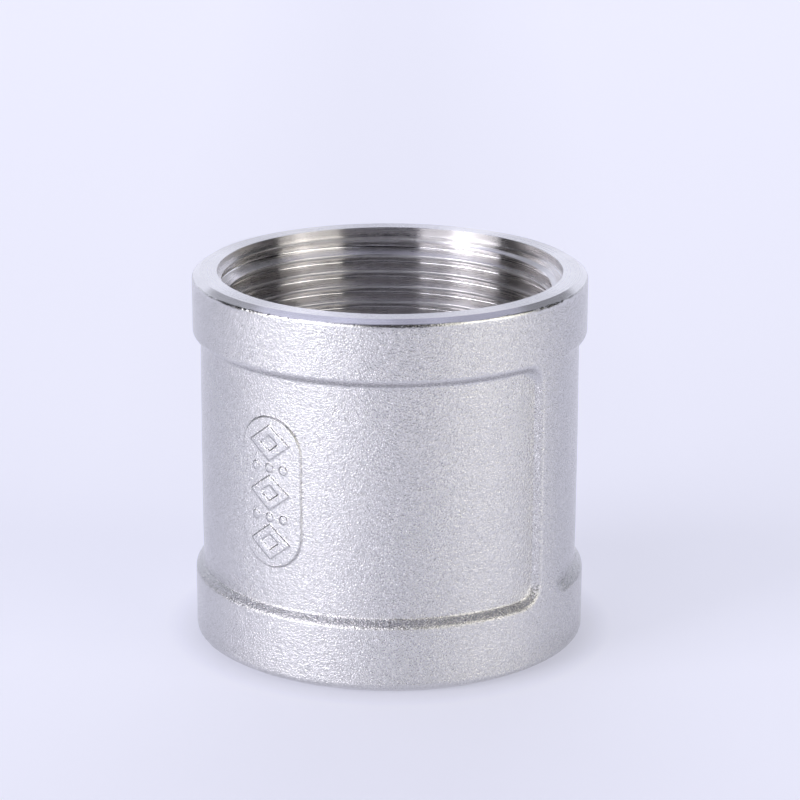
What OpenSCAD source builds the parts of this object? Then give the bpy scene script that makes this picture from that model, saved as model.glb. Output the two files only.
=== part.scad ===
// Banded pipe coupling: one investment-cast steel sleeve with an internal parallel pipe
// thread tapped from each end. Millimetres, +Z up, standing on its lower end face, with
// the axis on X = Y = 0 and the front towards -Y.
// Each thread is cut as rings at the true pitch, depth and flank angle.

/* [Casting] */
// Height over the two machined end faces
length = 52.2; // [50:0.1:60]
// Outer diameter over the end bands and ribs
band_d = 55; // [54.5:0.5:60]
// Outer diameter of the barrel between the bands
barrel_d = 52.9; // [52:0.1:53]
// Height of the lower band, up to where its shoulder starts to round
lower_band_h = 9; // [5:0.1:12]
// Height of the upper band, down to where its shoulder starts to round
upper_band_h = 8.1; // [5:0.1:12]
// Rounding on the outer edge of each shoulder
shoulder_r = 0.8; // [0.3:0.1:1]
// Fillet where each shoulder runs out on the barrel
shoulder_fillet = 0.4; // [0.2:0.1:0.6]
// Steepest slope of each shoulder, turned in from upright
shoulder_turn = 50; // [45:1:55]

/* [Ribs] */
// Number of upright ribs that join the bands
rib_count = 2; // [2:1:4]
// Direction of the first rib, turned from the front towards the right
rib_azimuth = 53.6; // [-90:0.1:90]
// Width of a rib across its outer face
rib_top_w = 3.3; // [2:0.1:10]
// Width of a rib where it meets the barrel
rib_foot_w = 5; // [3:0.1:12]
// Inside corner radius between a rib and a band
rib_corner_r = 2.4; // [1:0.1:5]

/* [Pad] */
// Direction of the raised pad, turned from the front towards the right
pad_azimuth = -37.1; // [-90:0.1:90]
// Width of the pad around the barrel
pad_w = 10.2; // [6:0.1:14]
// Height of the pad
pad_h = 21.4; // [14:0.1:24]
// How far the pad stands off the barrel
pad_raise = 0.25; // [0.2:0.05:0.5]
// How far the plain marks stand off the pad
mark_raise = 0.2; // [0.2:0.05:0.5]
// Width of a lozenge, across the pad
lozenge_w = 6.4; // [4:0.1:8]
// Height of a lozenge
lozenge_h = 4.6; // [3:0.1:5]
// Share of a lozenge's size that is left open inside it
lozenge_open = 0.55; // [0.3:0.05:0.7]
// Diameter of a dot
dot_d = 1.24; // [0.8:0.02:1.6]

/* [Thread] */
// Diameter over the thread crests, which is the bore that a mating pipe meets
minor_d = 44.84; // [44:0.01:45.5]
// Diameter over the thread roots
major_d = 47.8; // [47:0.01:48]
// Pitch, 11 threads to the inch
pitch = 2.309; // [1.814:0.001:2.309]
// Length of each thread, measured in from the seat of its counterbore
thread_l = 20; // [15:0.5:21]
// Diameter of the plain relief between the two threads
relief_d = 48.6; // [48.2:0.1:49]

/* [Machined ends] */
// Diameter of the counterbore in each mouth
mouth_d = 48; // [48:0.01:49.5]
// Depth of each counterbore
mouth_depth = 1.2; // [0.8:0.1:3]
// Outer diameter of the turned end faces
face_d = 52.92; // [50:0.02:53]
// Width of the turned chamfer round each end face
chamfer_w = 0.68; // [0.3:0.01:0.7]
// Depth of the turned chamfer
chamfer_h = 0.43; // [0.2:0.01:0.8]
// Depth at which the cast corner below the chamfer runs out
corner_h = 1.15; // [0.9:0.01:2]
// Depth of the first thread root below the counterbore seat
first_root = 1.55; // [1.2:0.01:2]

/* [Hidden] */
$fn = 96;

band_r = band_d / 2;
barrel_r = barrel_d / 2;
minor_r = minor_d / 2;
major_r = major_d / 2;
relief_r = relief_d / 2;
mouth_r = mouth_d / 2;
face_r = face_d / 2;
barrel_mid = (lower_band_h + length - upper_band_h) / 2; // height of the casting's own centre

// Shoulder: an outer rounding, a straight slope and a fillet
step = band_r - barrel_r;
shoulder_arcs = shoulder_r + shoulder_fillet;
slope_l = (step - shoulder_arcs * (1 - cos(shoulder_turn))) / sin(shoulder_turn);
shoulder_drop = shoulder_arcs * sin(shoulder_turn) + slope_l * cos(shoulder_turn);
arc_steps = 8;

// Thread form: 27.5 degree flanks, with crests and roots cut flat
flank_angle = 27.5;
root_half = pitch / 12;
groove_half = root_half + (major_r - minor_r) * tan(flank_angle);
groove_count = floor((thread_l - first_root - groove_half) / pitch) + 1;
over = 0.02;    // overlap that keeps neighbouring cuts joined
tool_gap = 1;   // how far a cutting shape runs past the surface it cuts

// Plain marks on the pad: three lozenges, with a row of three dots between neighbours
lozenge_gap = 7; // from one lozenge's middle to the next
dot_gap = 2.3;   // from one dot's middle to the next

// Points of one arc, as [radius, height] pairs
function arc(cx, cz, r, from, to) =
    [for (i = [0 : arc_steps]) let (a = from + (to - from) * i / arc_steps)
        [cx + r * cos(a), cz + r * sin(a)]];

// Upper end of the lower shoulder, from the band's face to the barrel
function shoulder_points() = concat(
    arc(band_r - shoulder_r, lower_band_h, shoulder_r, 0, shoulder_turn),
    arc(barrel_r + shoulder_fillet, lower_band_h + shoulder_drop, shoulder_fillet,
        180 + shoulder_turn, 180));

function top_down(points) =
    [for (i = [len(points) - 1 : -1 : 0]) [points[i][0], 2 * barrel_mid - points[i][1]]];

// Turned face, its chamfer and the cast corner of the lower end
function end_points() =
    [[face_r, 0], [face_r + chamfer_w, chamfer_h], [band_r, corner_h]];

// Solid of revolution of the casting, before any boring
module casting() {
    rotate_extrude()
        polygon(concat(
            [[0, 0]], end_points(), shoulder_points(),
            top_down(shoulder_points()),
            [for (i = [2 : -1 : 0]) [end_points()[i][0], length - end_points()[i][1]]],
            [[0, length]]));
}

// Everything inside the ribs' outer radius, between the two cast corners
module band_envelope() {
    translate([0, 0, corner_h])
        cylinder(r = band_r, h = length - 2 * corner_h);
}

// Height from the middle of the barrel to the middle of a shoulder
window_half = barrel_mid - lower_band_h - shoulder_drop / 2;

// Outline of one rib with its four rounded inside corners, seen from outside
module rib_outline() {
    half = rib_foot_w / 2;
    for (side = [-1, 1], end = [-1, 1])
        difference() {
            translate([side * (half + rib_corner_r / 2 - over),
                       end * (window_half - rib_corner_r / 2 + over)])
                square([rib_corner_r, rib_corner_r], center = true);
            translate([side * (half + rib_corner_r), end * (window_half - rib_corner_r)])
                circle(r = rib_corner_r);
        }
}

// Extrudes a flat outline straight out through the front wall at the given azimuth
module outward(azimuth) {
    rotate([0, 0, azimuth])
        translate([0, 0, barrel_mid])
            rotate([90, 0, 0])
                translate([0, 0, relief_r + tool_gap])
                    linear_extrude(height = band_r - relief_r)
                        children();
}

// One upright rib, flush with the bands
module rib(azimuth) {
    foot = barrel_r - shoulder_fillet;
    intersection() {
        band_envelope();
        union() {
            rotate([0, 0, azimuth])
                translate([0, 0, lower_band_h])
                    linear_extrude(height = length - upper_band_h - lower_band_h)
                        polygon([[-rib_foot_w / 2, -foot], [rib_foot_w / 2, -foot],
                                 [rib_top_w / 2, -band_r - tool_gap / 2],
                                 [-rib_top_w / 2, -band_r - tool_gap / 2]]);
            outward(azimuth) rib_outline();
        }
    }
}

// Barrel-shaped limit for something that stands the given height off the barrel
module barrel_limit(raise) {
    translate([0, 0, lower_band_h])
        cylinder(r = barrel_r + raise, h = length - upper_band_h - lower_band_h);
}

module pad() {
    straight = pad_h - pad_w;
    intersection() {
        barrel_limit(pad_raise);
        outward(pad_azimuth)
            union() {
                square([pad_w, straight], center = true);
                for (end = [-1, 1])
                    translate([0, end * straight / 2]) circle(d = pad_w);
            }
    }
}

module lozenge(size) {
    polygon([[lozenge_w / 2, 0], [0, lozenge_h / 2], [-lozenge_w / 2, 0], [0, -lozenge_h / 2]]
            * size);
}

module marks() {
    intersection() {
        barrel_limit(pad_raise + mark_raise);
        outward(pad_azimuth)
            union() {
                for (i = [-1 : 1])
                    translate([0, i * lozenge_gap])
                        difference() {
                            lozenge(1);
                            lozenge(lozenge_open);
                        }
                for (i = [-1, 1], j = [-1 : 1])
                    translate([j * dot_gap, i * lozenge_gap / 2]) circle(d = dot_d);
            }
    }
}

// Counterbore, thread core and thread rings of the lower end
module lower_bore() {
    translate([0, 0, -tool_gap])
        cylinder(r = mouth_r, h = mouth_depth + tool_gap);
    cylinder(r = minor_r, h = mouth_depth + thread_l + over);
    rotate_extrude()
        for (k = [0 : groove_count - 1])
            translate([0, mouth_depth + first_root + k * pitch])
                polygon([[minor_r - tool_gap, -groove_half], [minor_r, -groove_half],
                         [major_r, -root_half], [major_r, root_half],
                         [minor_r, groove_half], [minor_r - tool_gap, groove_half]]);
}

module bore() {
    lower_bore();
    translate([0, 0, length]) mirror([0, 0, 1]) lower_bore();
    translate([0, 0, mouth_depth + thread_l])
        cylinder(r = relief_r, h = length - 2 * (mouth_depth + thread_l));
}

module coupling_body() {
    color("lightsteelblue")
        difference() {
            union() {
                casting();
                for (i = [0 : rib_count - 1])
                    rib(rib_azimuth + i * 360 / rib_count);
                pad();
                marks();
            }
            bore();
        }
}

coupling_body();
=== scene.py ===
"""A banded, internally threaded pipe coupling: one cast sleeve with machined ends and a helical
thread from each end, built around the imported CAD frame. Lengths are in millimetres and angles in
degrees unless a name or a comment says otherwise. Azimuth 0 faces the camera and grows to its
right."""
import math

import bpy
import bmesh
from mathutils import Matrix, Vector, noise


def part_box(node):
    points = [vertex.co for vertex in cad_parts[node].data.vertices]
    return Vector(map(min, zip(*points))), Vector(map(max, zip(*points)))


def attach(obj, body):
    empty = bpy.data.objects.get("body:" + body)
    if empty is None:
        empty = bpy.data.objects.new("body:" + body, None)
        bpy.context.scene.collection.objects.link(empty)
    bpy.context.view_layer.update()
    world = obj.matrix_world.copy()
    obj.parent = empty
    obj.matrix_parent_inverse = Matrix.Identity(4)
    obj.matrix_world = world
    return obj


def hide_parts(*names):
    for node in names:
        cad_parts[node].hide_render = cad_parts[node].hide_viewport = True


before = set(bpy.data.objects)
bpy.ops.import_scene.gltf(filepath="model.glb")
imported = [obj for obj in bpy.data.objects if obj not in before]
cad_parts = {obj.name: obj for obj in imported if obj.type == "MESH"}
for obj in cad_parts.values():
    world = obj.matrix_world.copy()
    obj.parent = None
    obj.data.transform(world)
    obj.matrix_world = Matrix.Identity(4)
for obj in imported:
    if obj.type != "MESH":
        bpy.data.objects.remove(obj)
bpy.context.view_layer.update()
MM = 0.001

# ---------------------------------------------------------------- sizes
low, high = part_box("coupling_body")
LENGTH = (high.z - low.z) / MM
BAND_R = (high.x - low.x) / MM / 2
BARREL_R = 26.4                    # at the ends of the barrel
CROWN, CROWN_FADE = 0.07, 280      # how much fuller it is at mid height, and how slowly that fades
MID = 26.55                        # height of the casting's own centre
HALF_H = 17.55                     # from there to where each shoulder starts to round
WINDOW_R = 27.0                    # where arcs across the sunken windows are measured
FLANK_SHARE = 0.72                 # how much narrower the step is at a rib than at a shoulder
ROUND_R, FILLET_R = 0.8, 0.4       # the step's outer rounding and its fillet
SLOPE = 50                         # the step's steepest slope, from upright
RIB_HALF, CORNER_R = 1.65, 3.4     # half a rib's width, and the windows' corner radius
PAD_AZ, PAD_R, PAD_HALF, PAD_RAISE, PAD_EDGE = -37.1, 5.1, 10.7, 0.27, 0.26
PAD_AT_R = 26.6                    # where arcs across the pad are measured
MARK_RAISE, MARK_EDGE = 0.12, 0.32
LOZENGE_W, LOZENGE_H, STROKE = 3.3, 2.5, 0.55      # half width, half height, half line width
LOZENGE_SLANT = LOZENGE_W * LOZENGE_H / math.hypot(LOZENGE_W, LOZENGE_H)
MARK_GAP, DOT_GAP, DOT_R = 7.0, 2.3, 0.6
FACE_R = 26.46                     # outer edge of the turned end faces
CAST_CORNER = 1.05                 # rounding of the cast corner that the chamfer cuts into
RAGGED, PITTED, RAGGED_OVER = 0.06, 0.10, 0.5      # how uneven that corner is, and over what depth
CHAMFER = 1.55                     # how fast the turned chamfer widens with depth
MOUTH_R, MOUTH_DEPTH = 24.0, 1.2
EASE = 0.04                        # broken inner edge of each end face
SEAT_R, LEAD_L = 23.4, 0.65        # inner edge of the seat, and length of the plain wall below it
PITCH, MINOR_R, MAJOR_R, RELIEF_R = 2.309, 22.42, 23.9, 24.3
THREAD_L = 20.0
ROOT_OFFSET = 1.55                 # from each seat to the first thread root, at the back
SEAT_LOW, SEAT_TOP = MOUTH_DEPTH, LENGTH - MOUTH_DEPTH


def smooth(t):
    t = min(1.0, max(0.0, t))
    return t * t * (3 - 2 * t)


def wrap(az):
    return (az + 180) % 360 - 180


# ---------------------------------------------------------------- outside
TURN = math.radians(SLOPE)
DROP = BAND_R - BARREL_R
STRAIGHT = (DROP - (ROUND_R + FILLET_R) * (1 - math.cos(TURN))) / math.sin(TURN)
STEP_L = (ROUND_R + FILLET_R) * math.sin(TURN) + STRAIGHT * math.cos(TURN)


def step_down(t):
    """Share of the step taken at t, from the band (0) to the barrel (1)."""
    if t <= 0:
        return 0.0
    if t >= 1:
        return 1.0
    s = t * STEP_L
    if s <= ROUND_R * math.sin(TURN):
        return (ROUND_R - math.sqrt(ROUND_R ** 2 - s * s)) / DROP
    back = STEP_L - s
    if back <= FILLET_R * math.sin(TURN):
        return 1 - (FILLET_R - math.sqrt(FILLET_R ** 2 - back * back)) / DROP
    s -= ROUND_R * math.sin(TURN)
    return (ROUND_R * (1 - math.cos(TURN)) + s * math.tan(TURN)) / DROP


def window_depth(az, z):
    """How far the surface has stepped in, 0 on bands and ribs and 1 on the barrel. One window is
    centred on the pad and one is opposite it; the ribs are what is left between them."""
    quarter = math.radians(90) * WINDOW_R
    turned_by = abs(wrap(az - PAD_AZ))
    u = math.radians(min(turned_by, 180 - turned_by)) * WINDOW_R
    v = abs(z - MID)
    half_w = quarter - RIB_HALF
    qx, qy = u - (half_w - CORNER_R), v - (HALF_H - CORNER_R)
    if qx > 0 and qy > 0:
        inside = CORNER_R - math.hypot(qx, qy)
        share = qx * qx / (qx * qx + qy * qy)
    elif qx > qy:
        inside, share = half_w - u, 1.0
    else:
        inside, share = HALF_H - v, 0.0
    return step_down(inside / (STEP_L * (1 + (FLANK_SHARE - 1) * share)))


def pad_height(az, z):
    """Height of the pad and its plain marks above the barrel."""
    u = math.radians(wrap(az - PAD_AZ)) * PAD_AT_R
    v = z - MID
    if abs(u) > PAD_R + 1 or abs(v) > PAD_HALF + 1:
        return 0.0
    rim = PAD_R - math.hypot(u, max(0.0, abs(v) - (PAD_HALF - PAD_R)))
    lozenges = [(abs(u) / LOZENGE_W + abs(v - c) / LOZENGE_H - 1) * LOZENGE_SLANT
                for c in (-MARK_GAP, 0.0, MARK_GAP)]
    dots = [DOT_R - math.hypot(u - s, v - c)
            for c in (-MARK_GAP / 2, MARK_GAP / 2) for s in (-DOT_GAP, 0.0, DOT_GAP)]
    mark = max(dots + [STROKE - abs(e + STROKE) for e in lozenges])
    return PAD_RAISE * smooth(rim / PAD_EDGE) + MARK_RAISE * smooth(mark / MARK_EDGE + 0.5)


def end_round(edge):
    """How far the cast corner has rounded off, before the ends are machined."""
    s = min(CAST_CORNER - edge, 0.95 * CAST_CORNER)
    return CAST_CORNER - math.sqrt(CAST_CORNER ** 2 - s * s)


def skin_wave(p):
    """Slow unevenness of the casting: long swells with shorter ones over them."""
    return 0.022 * noise.noise(p * 0.28) + 0.016 * noise.noise(p * 0.75 + Vector((9, 4, 2))) - 0.02


def outside(az, z):
    """Radius of the outside, and whether the turned chamfer has cut it there."""
    sx, sy = math.sin(math.radians(az)), -math.cos(math.radians(az))
    crown = CROWN * (1 - min(1.0, (z - MID) ** 2 / CROWN_FADE))
    r = BAND_R - (BAND_R - BARREL_R - crown) * window_depth(az, z) + pad_height(az, z)
    r += skin_wave(Vector((sx * r, sy * r, z)))
    edge = min(z, LENGTH - z)
    if edge < CAST_CORNER:
        # broad waves that run on down the corner, and finer pits
        ragged = noise.noise(Vector((sx * 24, sy * 24, z * 0.6)) * 1.1)
        pits = noise.noise(Vector((sx * 27, sy * 27, z)) * 2.3)
        uneven = (RAGGED * ragged + PITTED * pits) * smooth((CAST_CORNER - edge) / RAGGED_OVER)
        r -= end_round(edge) + uneven
        cone = FACE_R + edge * CHAMFER
        if cone < r:
            return cone, True
    return r, False


# ---------------------------------------------------------------- thread profile
ROOT_ARC = 0.137329 * PITCH             # root radius of a 55 degree pipe thread
FLANK = math.tan(math.radians(27.5))
HALF_PROFILE = [(0.0, MAJOR_R)]
for arc in map(math.radians, (24.0, 44.0, 62.5)):
    HALF_PROFILE.append((ROOT_ARC * math.sin(arc), MAJOR_R - ROOT_ARC * (1 - math.cos(arc))))
CREST_AT = HALF_PROFILE[-1][0] + (HALF_PROFILE[-1][1] - MINOR_R) * FLANK
HALF_PROFILE += [(CREST_AT - 0.05, MINOR_R + 0.05 / FLANK), (CREST_AT - 0.005, MINOR_R + 0.022),
                 (CREST_AT + 0.045, MINOR_R)]
PROFILE = [(-z, r) for z, r in HALF_PROFILE[:0:-1]] + HALF_PROFILE
ROWS = len(PROFILE)
ROOT_PARTS = range(3, 9)                # the steps of the profile that round the root


def thread_r(z, root):
    """Radius of the thread at height z, where root is the height of any thread root."""
    s = abs((z - root + PITCH / 2) % PITCH - PITCH / 2)
    for (z0, r0), (z1, r1) in zip(HALF_PROFILE, HALF_PROFILE[1:]):
        if s <= z1:
            return r0 + (r1 - r0) * (s - z0) / (z1 - z0)
    return MINOR_R


def lead_in(r, depth):
    """Opens the first turn out to the seat, where depth is the distance below the seat."""
    return max(r, SEAT_R - max(0.0, depth - LEAD_L) / FLANK)


# ---------------------------------------------------------------- the grid
RIB_AZ = 53.6                                              # first rib, as the CAD has it
PAD_REACH, RIB_FLANK, RIB_REACH = 11.9, (1.6, 6.8), 12     # from the middle of the pad or a rib
ON_PAD, ON_FLANK, BY_RIB, PLAIN = 0.33, 0.5, 1.0, 1.9      # spacing of the columns
INSIDE_GAP = 2.2                                           # least spacing in the bore


def spacing(az):
    """Degrees to the next column: close on the pad and on the ribs' flanks, wide elsewhere."""
    if abs(wrap(az - PAD_AZ)) < PAD_REACH:
        return ON_PAD
    from_rib = min(abs(wrap(az - RIB_AZ)), abs(wrap(az - RIB_AZ - 180)))
    if RIB_FLANK[0] < from_rib < RIB_FLANK[1]:
        return ON_FLANK
    return BY_RIB if from_rib < RIB_REACH else PLAIN


def columns():
    """Azimuths of the columns. Each step looks a little ahead, so that it starts fine in time."""
    out, az = [], -180.0
    while az < 180:
        out.append(az)
        az += min(spacing(az), spacing(az + 0.3), spacing(az + 1.2))
    return out if 180 - out[-1] > 0.4 else out[:-1]


def fill(start, stretches):
    """Heights from start on, through stretches of (to, step)."""
    out = [start]
    for to, step in stretches:
        begin, count = out[-1], max(1, round((to - out[-1]) / step))
        out += [begin + (to - begin) * (i + 1) / count for i in range(count)]
    return out


AZ = columns()
INNER = []                              # the columns that the sparser inside shares
for column, az in enumerate(AZ):
    if not INNER or az - AZ[INNER[-1]] >= INSIDE_GAP:
        INNER.append(column)
INNER_AZ = [AZ[column] for column in INNER]
HEIGHTS = fill(0.0, [                   # close at the chamfers, the shoulders and the pad
    (0.3, 0.15), (1.3, 0.085), (1.8, 0.25), (8.8, 1.0), (10.8, 0.1), (15.6, 0.6), (37.5, 0.17),
    (42.3, 0.6), (44.3, 0.1), (LENGTH - 1.8, 1.0), (LENGTH - 1.3, 0.25), (LENGTH - 0.3, 0.085),
    (LENGTH, 0.15)])

SKIN, TURNED, BEVEL, FLANKS, ROOTS, CRESTS = range(6)
bm = bmesh.new()


def vert(az, r, z):
    a = math.radians(az)
    return bm.verts.new((math.sin(a) * r * MM, -math.cos(a) * r * MM, z * MM))


def ring(r, z):
    return [vert(az, r, z) for az in INNER_AZ]


def face(verts, kind):
    """A face without its repeated corners, or none where fewer than three are left."""
    corners = [v for i, v in enumerate(verts) if v is not verts[i - 1]]
    if len(set(corners)) >= 3:
        bm.faces.new(corners).material_index = kind


def shell():
    """The outside. Returns its lowest and highest rings."""
    grid, cut = [], []
    for z in HEIGHTS:
        samples = [outside(az, z) for az in AZ]
        grid.append([vert(az, r, z) for az, (r, machined) in zip(AZ, samples)])
        cut.append([machined for r, machined in samples])
    for i in range(len(HEIGHTS) - 1):
        for j in range(len(AZ)):
            k = (j + 1) % len(AZ)
            machined = cut[i][j] + cut[i][k] + cut[i + 1][j] + cut[i + 1][k]
            face([grid[i][j], grid[i][k], grid[i + 1][k], grid[i + 1][j]],
                 BEVEL if machined > 2 else SKIN)
    return grid[0], grid[-1]


def band(lower, upper, kind):
    """Joins two inner rings; lower comes first when the surface faces the axis."""
    for j in range(len(lower)):
        k = (j + 1) % len(lower)
        face([lower[k], lower[j], upper[j], upper[k]], kind)


def fan(outer, inner, kind, up):
    """Joins a full outer ring to the sparser ring inside it."""
    for j, a in enumerate(INNER):
        k = (j + 1) % len(INNER)
        b = INNER[k]
        span = list(range(a, b + 1)) if b > a else list(range(a, len(AZ))) + list(range(b + 1))
        corners = [outer[q] for q in span] + [inner[k], inner[j]]
        face(corners if up else corners[::-1], kind)


def thread(low_z, high_z, root_back):
    """Helical thread between two planes. Returns its lower and upper rings."""
    first = math.floor((low_z - root_back) / PITCH) - 1
    last = math.ceil((high_z - root_back) / PITCH) + 2
    strips = []
    for az in INNER_AZ:
        root = root_back + PITCH * (az - 180) / 360
        made, strip = {}, []
        for coil in range(first, last + 1):
            for dz, r in PROFILE:
                key, z = (coil, dz), root + coil * PITCH + dz
                if z <= low_z:
                    key, r, z = "low", thread_r(low_z, root), low_z
                elif z >= high_z:
                    key, r, z = "high", thread_r(high_z, root), high_z
                if key not in made:
                    depth = z - SEAT_LOW if low_z == SEAT_LOW else SEAT_TOP - z
                    made[key] = vert(az, lead_in(r, depth), z)
                strip.append(made[key])
        strips.append(strip)
    top = len(strips[0]) - 1
    for j, a in enumerate(strips):
        b = strips[(j + 1) % len(strips)]
        shift = 0 if j + 1 < len(strips) else ROWS      # the last strip meets the next coil
        for i in range(top):
            part = i % ROWS
            kind = CRESTS if part == ROWS - 1 else ROOTS if part in ROOT_PARTS else FLANKS
            face([b[min(i + shift, top)], a[i], a[i + 1], b[min(i + 1 + shift, top)]], kind)
    return [strip[0] for strip in strips], [strip[-1] for strip in strips]


def build_sleeve():
    foot, rim = shell()

    mouth = ring(MOUTH_R + EASE, 0.0)
    fan(foot, mouth, TURNED, False)
    lip = ring(MOUTH_R, EASE)
    band(mouth, lip, TURNED)
    wall = ring(MOUTH_R, SEAT_LOW)
    band(lip, wall, FLANKS)
    begin, end = thread(SEAT_LOW, SEAT_LOW + THREAD_L, SEAT_LOW + ROOT_OFFSET)
    band(wall, begin, TURNED)

    relief_low = ring(RELIEF_R, SEAT_LOW + THREAD_L)
    relief_high = ring(RELIEF_R, SEAT_TOP - THREAD_L)
    band(end, relief_low, SKIN)
    band(relief_low, relief_high, SKIN)

    begin, end = thread(SEAT_TOP - THREAD_L, SEAT_TOP, SEAT_TOP - ROOT_OFFSET)
    band(relief_high, begin, SKIN)
    wall = ring(MOUTH_R, SEAT_TOP)
    band(end, wall, TURNED)
    lip = ring(MOUTH_R, LENGTH - EASE)
    band(wall, lip, FLANKS)
    mouth = ring(MOUTH_R + EASE, LENGTH)
    band(lip, mouth, TURNED)
    fan(rim, mouth, TURNED, True)


SHARP = math.radians(32)                # an edge that turns more than this stays crisp
build_sleeve()
bmesh.ops.remove_doubles(bm, verts=bm.verts, dist=0.0002 * MM)
bmesh.ops.dissolve_degenerate(bm, edges=bm.edges, dist=0.0001 * MM)
bmesh.ops.triangulate(bm, faces=[f for f in bm.faces if len(f.verts) > 4])
mesh = bpy.data.meshes.new("coupling_sleeve")
bm.to_mesh(mesh)
bm.free()
mesh.shade_smooth()
mesh.set_sharp_from_angle(angle=SHARP)
sleeve = bpy.data.objects.new("coupling_sleeve", mesh)
bpy.context.scene.collection.objects.link(sleeve)


# ---------------------------------------------------------------- node helpers
class Nodes:
    """Adds nodes to one tree. A value given as an input is either a socket or a constant."""

    def __init__(self, tree):
        self.tree = tree

    def connect(self, socket, value):
        if isinstance(value, bpy.types.NodeSocket):
            self.tree.links.new(value, socket)
        else:
            socket.default_value = value

    def outputs(self, kind, inputs=None, **props):
        node = self.tree.nodes.new(kind)
        for name, value in props.items():
            setattr(node, name, value)
        for name, value in (inputs or {}).items():
            self.connect(node.inputs[name], value)
        return node.outputs

    def add(self, kind, inputs=None, **props):
        return self.outputs(kind, inputs, **props)[0]

    def math(self, op, *values):
        return self.add("ShaderNodeMath", dict(enumerate(values)), operation=op)

    def length(self, a, b):
        """Length of the flat vector (a, b)."""
        return self.math("SQRT", self.math("ADD", self.math("MULTIPLY", a, a),
                                           self.math("MULTIPLY", b, b)))

    def mix(self, a, b, share):
        """a and b added with weights share and 1 - share."""
        return self.math("ADD", self.math("MULTIPLY", a, share),
                         self.math("MULTIPLY", b, 1 - share))

    def noise(self, vector, scale, detail, rough):
        """Fractal noise, with the scale in features to the metre."""
        return self.add("ShaderNodeTexNoise", {"Vector": vector, "Scale": scale, "Detail": detail,
                                              "Roughness": rough})

    def ramp(self, value, start, stop, first=0.0, last=1.0, **props):
        return self.add("ShaderNodeMapRange", {0: value, 1: start, 2: stop, 3: first, 4: last},
                        **props)

    def colour(self, share, first, second):
        outputs = self.outputs("ShaderNodeMix", {0: share, 6: (*first, 1), 7: (*second, 1)},
                               data_type="RGBA")
        return outputs[2]

    def place(self):
        """Position on the object, in metres."""
        return self.outputs("ShaderNodeTexCoord")["Object"]

    def split(self, vector):
        """The vector's x, y and z."""
        return self.outputs("ShaderNodeSeparateXYZ", {0: vector})


def material(name):
    """A new material, with the helper for its tree."""
    mat = bpy.data.materials.new(name)
    mat.use_nodes = True
    return mat, Nodes(mat.node_tree)


def set_shader(mat, k, **values):
    shader = next(q for q in mat.node_tree.nodes if q.type == "BSDF_PRINCIPLED")
    for name, value in values.items():
        k.connect(shader.inputs[name.replace("_", " ")], value)


# ---------------------------------------------------------------- materials
PAD_STEP, MARK_STEP = (0.0, 0.24), (-0.09, 0.09)   # where each sharpened edge starts and ends
STEP_SHARE = 0.5                                   # its height, as a share of the skin's bump


def pad_edges(k, place):
    """A step at the edge of the pad and of each mark, sharper than the mesh's own."""
    x, y, z = k.split(place)
    az = k.math("ARCTAN2", x, k.math("MULTIPLY", y, -1.0))
    across = k.math("MULTIPLY", k.math("SUBTRACT", az, math.radians(PAD_AZ)), PAD_AT_R)
    u = k.math("ABSOLUTE", across)
    v = k.math("ABSOLUTE", k.math("SUBTRACT", k.math("DIVIDE", z, MM), MID))
    along = k.math("PINGPONG", v, MARK_GAP / 2)
    reach = k.math("ADD", k.math("DIVIDE", u, LOZENGE_W), k.math("DIVIDE", along, LOZENGE_H))
    lozenge = k.math("MULTIPLY", LOZENGE_SLANT, k.math("SUBTRACT", reach, 1.0))
    line = k.math("SUBTRACT", STROKE, k.math("ABSOLUTE", k.math("ADD", lozenge, STROKE)))
    line = k.math("MINIMUM", line, k.math("SUBTRACT", MARK_GAP + LOZENGE_H + STROKE, v))
    off = k.length(k.math("PINGPONG", u, DOT_GAP / 2), k.math("SUBTRACT", MARK_GAP / 2, along))
    dot = k.math("MINIMUM", k.math("SUBTRACT", DOT_R, off), k.math("SUBTRACT", MARK_GAP, v))
    dot = k.math("MINIMUM", dot, k.math("SUBTRACT", 1.5 * DOT_GAP, u))
    end = k.math("MAXIMUM", 0.0, k.math("SUBTRACT", v, PAD_HALF - PAD_R))
    rim = k.math("SUBTRACT", PAD_R, k.length(u, end))
    steps = k.math("ADD", k.ramp(k.math("MAXIMUM", line, dot), *MARK_STEP, 0.0, STEP_SHARE),
                   k.ramp(rim, *PAD_STEP, 0.0, STEP_SHARE))
    not_in_bore = k.math("GREATER_THAN", k.length(x, y), (RELIEF_R + 1) * MM)
    return k.math("MULTIPLY", steps, not_in_bore)


def cast_skin():
    """Blasted investment-cast skin: a fine orange peel, with painted shade that darkens its pits
    and lightens its bumps.
    """
    mat, k = material("cast_skin")
    place = k.place()
    grain = k.noise(place, 6200, 1.5, 0.5)
    pebble = k.noise(place, 3000, 1.0, 0.5)
    patch = k.noise(place, 120, 3, 0.55)
    peel = k.mix(pebble, grain, 0.45)
    half = LENGTH * MM / 2
    off_middle = k.math("ABSOLUTE", k.math("SUBTRACT", k.split(place)[2], half))
    to_end = k.math("SUBTRACT", half, off_middle)
    bump = k.add("ShaderNodeBump", {
        "Strength": k.ramp(to_end, 0.9 * MM, 1.4 * MM, 0.3, 1.0), "Distance": 0.19 * MM,
        "Height": k.math("ADD", peel, pad_edges(k, place))})
    roughness = k.math("ADD", k.ramp(grain, 0.3, 0.7, 0.22, 0.28),
                       k.ramp(patch, 0.3, 0.7, -0.03, 0.03))
    # Painted shade: the base colour follows the peel's height, darker in the pits and lighter on
    # the bumps, standing in for the shading of the relief.
    colour = k.colour(k.ramp(peel, 0.36, 0.64), (0.60, 0.595, 0.595), (0.73, 0.725, 0.72))
    set_shader(mat, k, Metallic=1.0, Normal=bump, Base_Color=colour, Roughness=roughness)
    return mat


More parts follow.
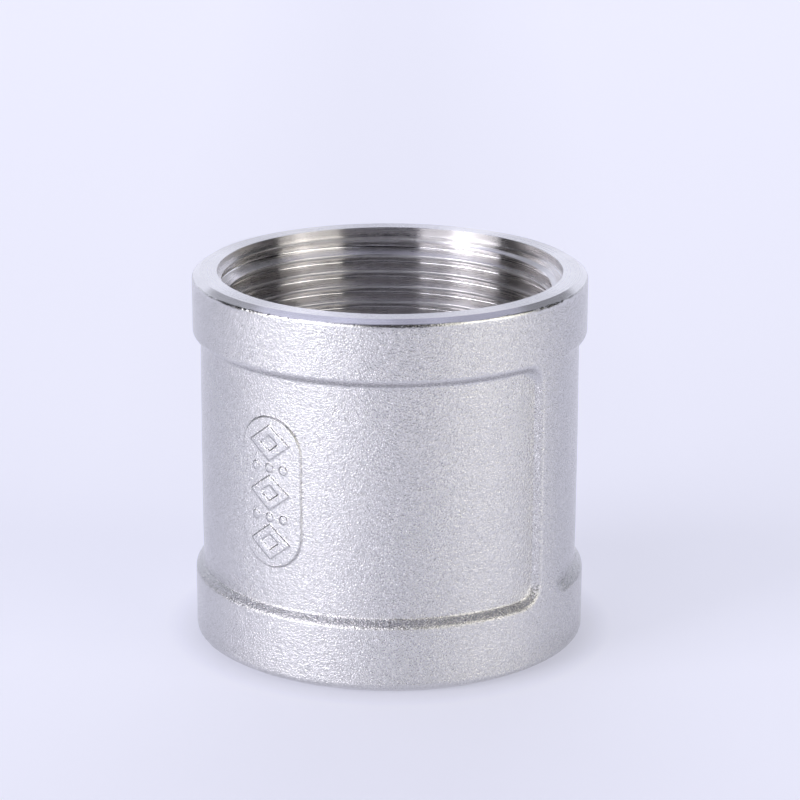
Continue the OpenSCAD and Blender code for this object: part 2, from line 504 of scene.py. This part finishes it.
def turned(name, anisotropy, roughness, line_scale, line_depth, dull, bright):
    """Metal with fine rings left by a tool, so that its gloss spreads across the rings."""
    mat, k = material(name)
    place = k.place()
    x, y, z = k.split(place)
    rings = k.add("ShaderNodeCombineXYZ", {0: k.length(x, y), 1: z, 2: 0.0})
    wander = k.add("ShaderNodeVectorMath", {0: place, 1: (0.006, 0.006, 0)}, operation="MULTIPLY")
    lines = k.noise(k.add("ShaderNodeVectorMath", {0: rings, 1: wander}, operation="ADD"),
                    line_scale, 2, 0.5)
    bump = k.add("ShaderNodeBump", {"Strength": 1.0, "Distance": line_depth * MM, "Height": lines})
    tangent = k.add("ShaderNodeTangent", direction_type="RADIAL", axis="Z")
    blend = k.mix(lines, k.noise(place, 260, 3, 0.6), 0.6)
    set_shader(mat, k, Metallic=1.0, Normal=bump, Anisotropic=anisotropy, Anisotropic_Rotation=0.25,
               Tangent=tangent, Base_Color=k.colour(k.ramp(blend, 0.35, 0.65), dull, bright),
               Roughness=k.ramp(blend, 0.35, 0.65, *roughness))
    return mat


END_METAL = (0.74, 0.73, 0.73), (0.84, 0.83, 0.83)
FINISHES = {
    SKIN: cast_skin(),
    TURNED: turned("turned_face", 1.0, (0.24, 0.32), 9000, 0.008, *END_METAL),
    BEVEL: turned("turned_chamfer", 0.6, (0.20, 0.26), 9000, 0.008, *END_METAL),
    FLANKS: turned("thread_flank", 1.0, (0.25, 0.31), 4200, 0.0015,
                   (0.725, 0.705, 0.705), (0.795, 0.775, 0.775)),
    ROOTS: turned("thread_root", 0.9, (0.13, 0.17), 4200, 0.001,
                  (0.80, 0.79, 0.80), (0.86, 0.85, 0.86)),
    CRESTS: turned("thread_crest", 0.6, (0.34, 0.44), 7000, 0.02,
                   (0.66, 0.655, 0.66), (0.86, 0.855, 0.86))}
for kind in sorted(FINISHES):
    mesh.materials.append(FINISHES[kind])

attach(sleeve, "root")
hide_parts("coupling_body")


# ---------------------------------------------------------------- floor
def pale_floor():
    """A lit, glowing floor with painted shade: its glow is dimmer just around the foot, as a
    painted contact shadow, and towards the front and near the middle, as painted falloff of the
    light.
    """
    mat, k = material("pale_floor")
    x, y = k.split(k.place())[:2]
    # Painted contact shadow: the glow dims just around the foot.
    painted_contact_shadow = k.ramp(k.length(x, y), 0.0265, 0.032, 0.72, 1.0)
    # Painted falloff of the light: the glow dims towards the front and near the middle.
    painted_falloff = k.math("MULTIPLY", k.ramp(y, -0.06, 0.5, 0.51, 0.54),
                   k.ramp(k.math("ABSOLUTE", x), 0.01, 0.05, 0.96, 1.03))
    set_shader(mat, k, Base_Color=(0.43, 0.435, 0.485, 1), Roughness=0.6, Specular_IOR_Level=0.1,
               Emission_Color=(0.93, 0.935, 1.08, 1),
               Emission_Strength=k.math("MULTIPLY", painted_contact_shadow, painted_falloff))
    return mat


bpy.ops.mesh.primitive_circle_add(vertices=96, radius=4.0, fill_type="NGON", location=(0, 0, 0))
floor = bpy.context.object
floor.name = "floor"
floor.data.materials.append(pale_floor())

# ---------------------------------------------------------------- light
world = bpy.data.worlds.new("studio")
bpy.context.scene.world = world
world.use_nodes = True
sky = Nodes(world.node_tree)
toward = sky.outputs("ShaderNodeTexCoord")["Generated"]
to_x, to_y, to_z = sky.outputs("ShaderNodeSeparateXYZ", {0: toward})
AZIMUTH = sky.math("MULTIPLY", sky.math("ARCTAN2", to_x, sky.math("MULTIPLY", to_y, -1.0)),
                   math.degrees(1))
ELEVATION = sky.math("MULTIPLY", sky.math("ARCSINE", to_z), math.degrees(1))


def gate(value, start, stop, soft):
    """1 between start and stop, falling to 0 over soft outside them."""
    rise = sky.ramp(value, start - soft, start, interpolation_type="SMOOTHSTEP")
    fall = sky.ramp(value, stop, stop + soft, 1.0, 0.0, interpolation_type="SMOOTHSTEP")
    return sky.math("MULTIPLY", rise, fall)


def softboxes(colour, boxes):
    """One background of softboxes: azimuth from and to, elevation from and to, softness, power."""
    total = 0.0
    for az_from, az_to, el_from, el_to, soft, power in boxes:
        shape = sky.math("MULTIPLY", gate(AZIMUTH, az_from, az_to, soft),
                         gate(ELEVATION, el_from, el_to, soft))
        total = sky.math("ADD", total, sky.math("MULTIPLY", shape, power))
    return sky.add("ShaderNodeBackground", {"Color": (*colour, 1), "Strength": total})


left_side = softboxes((0.985, 0.97, 1.03), [
    (-79, -21, -2, 23, 1, 3.5), (-57, -45, -2, 23, 1.5, 3.0), (-79, -45, 23, 51, 1, 3.2)])
right_side = softboxes((1.02, 0.99, 0.91), [
    (35, 80, -2, 23, 1, 2.15), (59, 67, -2, 23, 1.5, 1.4), (35, 80, 23, 51, 1, 1.25),
    (59, 67, 23, 51, 1.5, 0.3)])
backdrop = softboxes((0.93, 0.95, 1.09), [
    (130, 181, -2, 23, 2, 0.95), (-181, -125, -2, 23, 2, 0.95), (160, 181, 23, 51, 2, 0.95),
    (-181, -160, 23, 51, 2, 0.95), (125, 160, 23, 51, 2, 0.3), (-160, -125, 23, 51, 2, 0.45)])
overhead = softboxes((0.885, 0.90, 1.16), [
    (90, 181, 51, 75, 3, 0.5), (-181, -90, 51, 75, 3, 0.72), (-181, 181, 75, 91, 3, 0.35),
    (110, 181, 75, 91, 3, 0.1), (-181, -110, 75, 91, 3, 0.3),
    (-90, -25, 51, 68, 3, 0.9), (30, 90, 51, 68, 3, 0.45)])
room = left_side
for lights in (right_side, backdrop, overhead):
    room = sky.add("ShaderNodeAddShader", {0: room, 1: lights})
surface = next(q for q in world.node_tree.nodes if q.type == "OUTPUT_WORLD").inputs[0]
sky.connect(surface, room)
bpy.context.scene.view_settings.view_transform = "Standard"

# ---------------------------------------------------------------- camera
YAW, DOWN, ROLL = -0.00357, 0.29648, 0.0037        # radians
camera_data = bpy.data.cameras.new("camera")
camera_data.sensor_width, camera_data.lens = 36.0, 135.1
camera_data.clip_start, camera_data.clip_end = 0.01, 50
camera = bpy.data.objects.new("camera", camera_data)
camera.matrix_world = (
    Matrix.Translation((0, -0.40362, 0.156395)) @ Matrix.Rotation(YAW, 4, "Z")
    @ Matrix.Rotation(math.pi / 2 - DOWN, 4, "X") @ Matrix.Rotation(ROLL, 4, "Z"))
bpy.context.scene.collection.objects.link(camera)
bpy.context.scene.camera = camera
